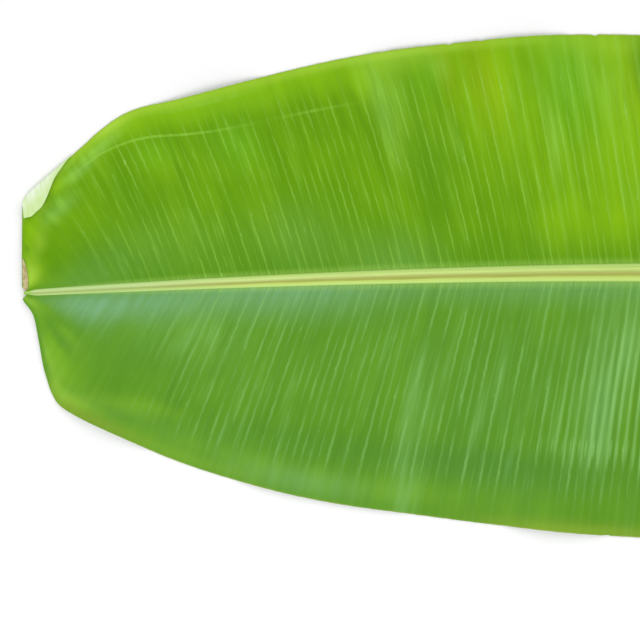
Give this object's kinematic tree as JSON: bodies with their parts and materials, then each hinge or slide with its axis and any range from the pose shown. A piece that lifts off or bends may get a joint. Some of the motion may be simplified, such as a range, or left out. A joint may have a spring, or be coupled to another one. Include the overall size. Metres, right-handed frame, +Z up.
{
  "type": "banana leaf",
  "caption": "Fresh banana leaf with a blunt tip, a grooved midrib and a short cut stalk, lying face up.",
  "frame": {"origin": "on the table under the middle of the leaf's bounding box", "axes": "+Z up from the table, +X along the leaf from the tip to the cut stalk, +Y towards the far half of the blade"},
  "size_m": [1.17, 0.4268, 0.021],
  "materials": {
    "blade": "waxy green leaf skin, satin sheen, paler and matt underneath",
    "midrib": "smooth pale yellow-green rib, satin"
  },
  "bodies": {
    "root": {"banana_leaf": "blade"}
  },
  "joints": []
}
